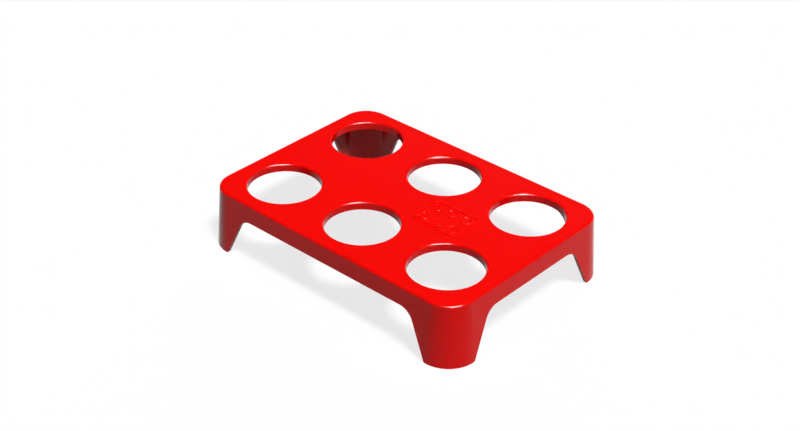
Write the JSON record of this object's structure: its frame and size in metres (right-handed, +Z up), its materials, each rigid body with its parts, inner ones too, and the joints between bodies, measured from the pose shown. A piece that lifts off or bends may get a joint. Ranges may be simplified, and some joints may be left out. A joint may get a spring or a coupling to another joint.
{
  "type": "cup carrier tray",
  "caption": "One-piece moulded plastic tray with a flat deck, collared round cup holes, drafted skirt and hollow corner legs.",
  "frame": {"origin": "on the floor, midway between the four feet", "axes": "+X along the tray's long side, +Y across it, +Z up through the deck"},
  "size_m": [0.319, 0.229, 0.064],
  "materials": {
    "tray_plastic": "red moulded plastic, semi-gloss"
  },
  "bodies": {
    "root": {"carrier_tray": "tray_plastic"}
  },
  "joints": []
}
